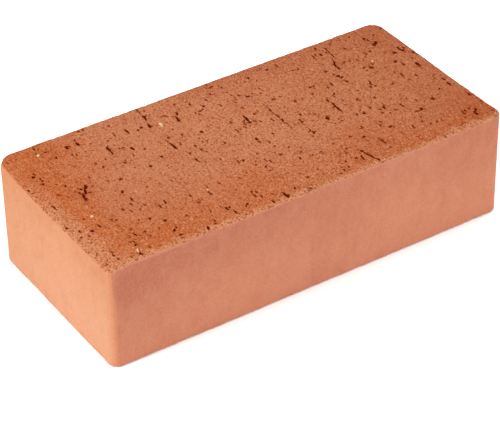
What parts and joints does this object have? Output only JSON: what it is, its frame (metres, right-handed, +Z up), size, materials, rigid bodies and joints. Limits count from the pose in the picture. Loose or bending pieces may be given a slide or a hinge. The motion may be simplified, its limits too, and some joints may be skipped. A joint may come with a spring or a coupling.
{
  "type": "solid clay brick",
  "caption": "Solid wire-cut clay brick, rectangular, with rounded upright corners, smooth sides and two rough cut beds.",
  "frame": {"origin": "middle of the lower bed, on the floor", "axes": "+X along the length, +Y across the width from the front stretcher to the back one, +Z up through the beds"},
  "size_m": [0.25, 0.12, 0.064],
  "materials": {
    "fired_clay": "matte"
  },
  "bodies": {
    "root": {"brick_body": "fired_clay"}
  },
  "joints": []
}
